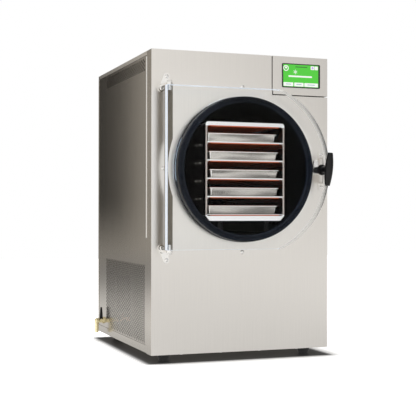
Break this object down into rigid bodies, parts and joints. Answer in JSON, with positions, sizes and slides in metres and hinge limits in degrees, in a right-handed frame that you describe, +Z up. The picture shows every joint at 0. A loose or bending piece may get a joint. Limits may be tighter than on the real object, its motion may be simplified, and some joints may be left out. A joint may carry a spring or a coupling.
{
  "type": "freeze dryer",
  "caption": "Floor or bench freeze dryer: steel cabinet with perforated sides, round vacuum chamber, thick clear hinged door, heated rack of trays and a drain valve.",
  "frame": {"origin": "centre of the bounding box at floor level, under the feet", "axes": "+Z up, -Y out of the door, +X to the right as seen from the front"},
  "size_m": [0.4826, 0.635, 0.7366],
  "materials": {
    "cabinet_steel": "satin stainless sheet",
    "side_steel": "satin stainless sheet",
    "strip_coating": "brown coated steel",
    "bright_steel": "polished stainless steel",
    "rack_steel": "bright folded stainless sheet",
    "tray_steel": "drawn stainless steel",
    "chamber_coating": "black epoxy coating",
    "black_rubber": "glossy black rubber",
    "heater_silicone": "orange silicone",
    "acrylic": "clear cast acrylic",
    "screen": "glossy black bezel",
    "board": "green laminate",
    "black_oxide": "black oxide steel",
    "black_plastic": "black moulded plastic",
    "foam": "closed-cell foam",
    "copper": "drawn copper tube",
    "compressor_paint": "black enamel",
    "condenser_metal": "bare aluminium fins",
    "motor_metal": "grey enamel",
    "fan_plastic": "grey moulded plastic",
    "brass": "turned brass",
    "switch_red": "red moulded plastic"
  },
  "bodies": {
    "cabinet": {"base_pan": "side_steel", "front_panel": "cabinet_steel", "left_side_panel": "side_steel", "right_side_panel": "side_steel", "top_cover": "cabinet_steel", "rear_panel": "side_steel", "control_panel": "cabinet_steel", "touchscreen": "screen", "circuit_board": "board", "feet": "black_rubber", "panel_screws": "bright_steel", "chamber": "chamber_coating", "chamber_end_plate": "chamber_coating", "chamber_flange": "chamber_coating", "gasket": "black_rubber", "insulation": "foam", "evaporator_coil": "copper", "refrigerant_lines": "copper", "compressor": "compressor_paint", "condenser": "condenser_metal", "fan_shroud": "black_plastic", "fan_motor": "motor_metal", "vacuum_port": "brass", "power_inlet": "black_plastic", "drain_pipe": "copper", "drain_valve": "brass", "rack_frame": "rack_steel", "rack_runners": "black_plastic", "rack_screws": "bright_steel", "shelf_1": "rack_steel", "shelf_2": "rack_steel", "shelf_3": "rack_steel", "shelf_4": "rack_steel", "shelf_5": "rack_steel", "heater_mat_1": "heater_silicone", "heater_mat_2": "heater_silicone", "heater_mat_3": "heater_silicone", "heater_mat_4": "heater_silicone", "heater_mat_5": "heater_silicone", "heater_mat_6": "heater_silicone", "tray_1": "tray_steel", "tray_2": "tray_steel", "tray_3": "tray_steel", "tray_4": "tray_steel", "tray_5": "tray_steel", "hinge_bracket_top": "bright_steel", "hinge_bracket_bottom": "bright_steel", "hinge_pins": "black_oxide", "latch_strike": "cabinet_steel", "face_screws": "bright_steel"},
    "door": {"door": "acrylic", "hinge_strip": "strip_coating", "handle_collar": "bright_steel"},
    "handle": {"handle_shaft": "bright_steel", "handle_lever": "black_plastic", "latch_pawl": "bright_steel", "latch_nut": "bright_steel"},
    "valve_lever": {"drain_lever": "black_plastic"},
    "fan": {"fan_blades": "fan_plastic"},
    "rocker": {"power_switch": "switch_red"}
  },
  "joints": [
    {"name": "door_hinge", "type": "hinge", "parent": "cabinet", "child": "door", "pos_m": [-0.1853, -0.2572, 0.457], "axis": [0, 0, -1], "range_deg": [0, 170]},
    {"name": "handle_turn", "type": "hinge", "parent": "door", "child": "handle", "pos_m": [0.1982, -0.2445, 0.457], "axis": [0, 1, 0], "range_deg": [0, 90]},
    {"name": "drain_lever_turn", "type": "hinge", "parent": "cabinet", "child": "valve_lever", "pos_m": [-0.2244, 0.2325, 0.056], "axis": [0, -1, 0], "range_deg": [0, 90]},
    {"name": "fan_spin", "type": "hinge", "parent": "cabinet", "child": "fan", "pos_m": [-0.1463, -0.0575, 0.125], "axis": [1, 0, 0], "continuous": true},
    {"name": "switch_rock", "type": "hinge", "parent": "cabinet", "child": "rocker", "pos_m": [0.1627, 0.2975, 0.137], "axis": [1, 0, 0], "range_deg": [0, 16]}
  ]
}
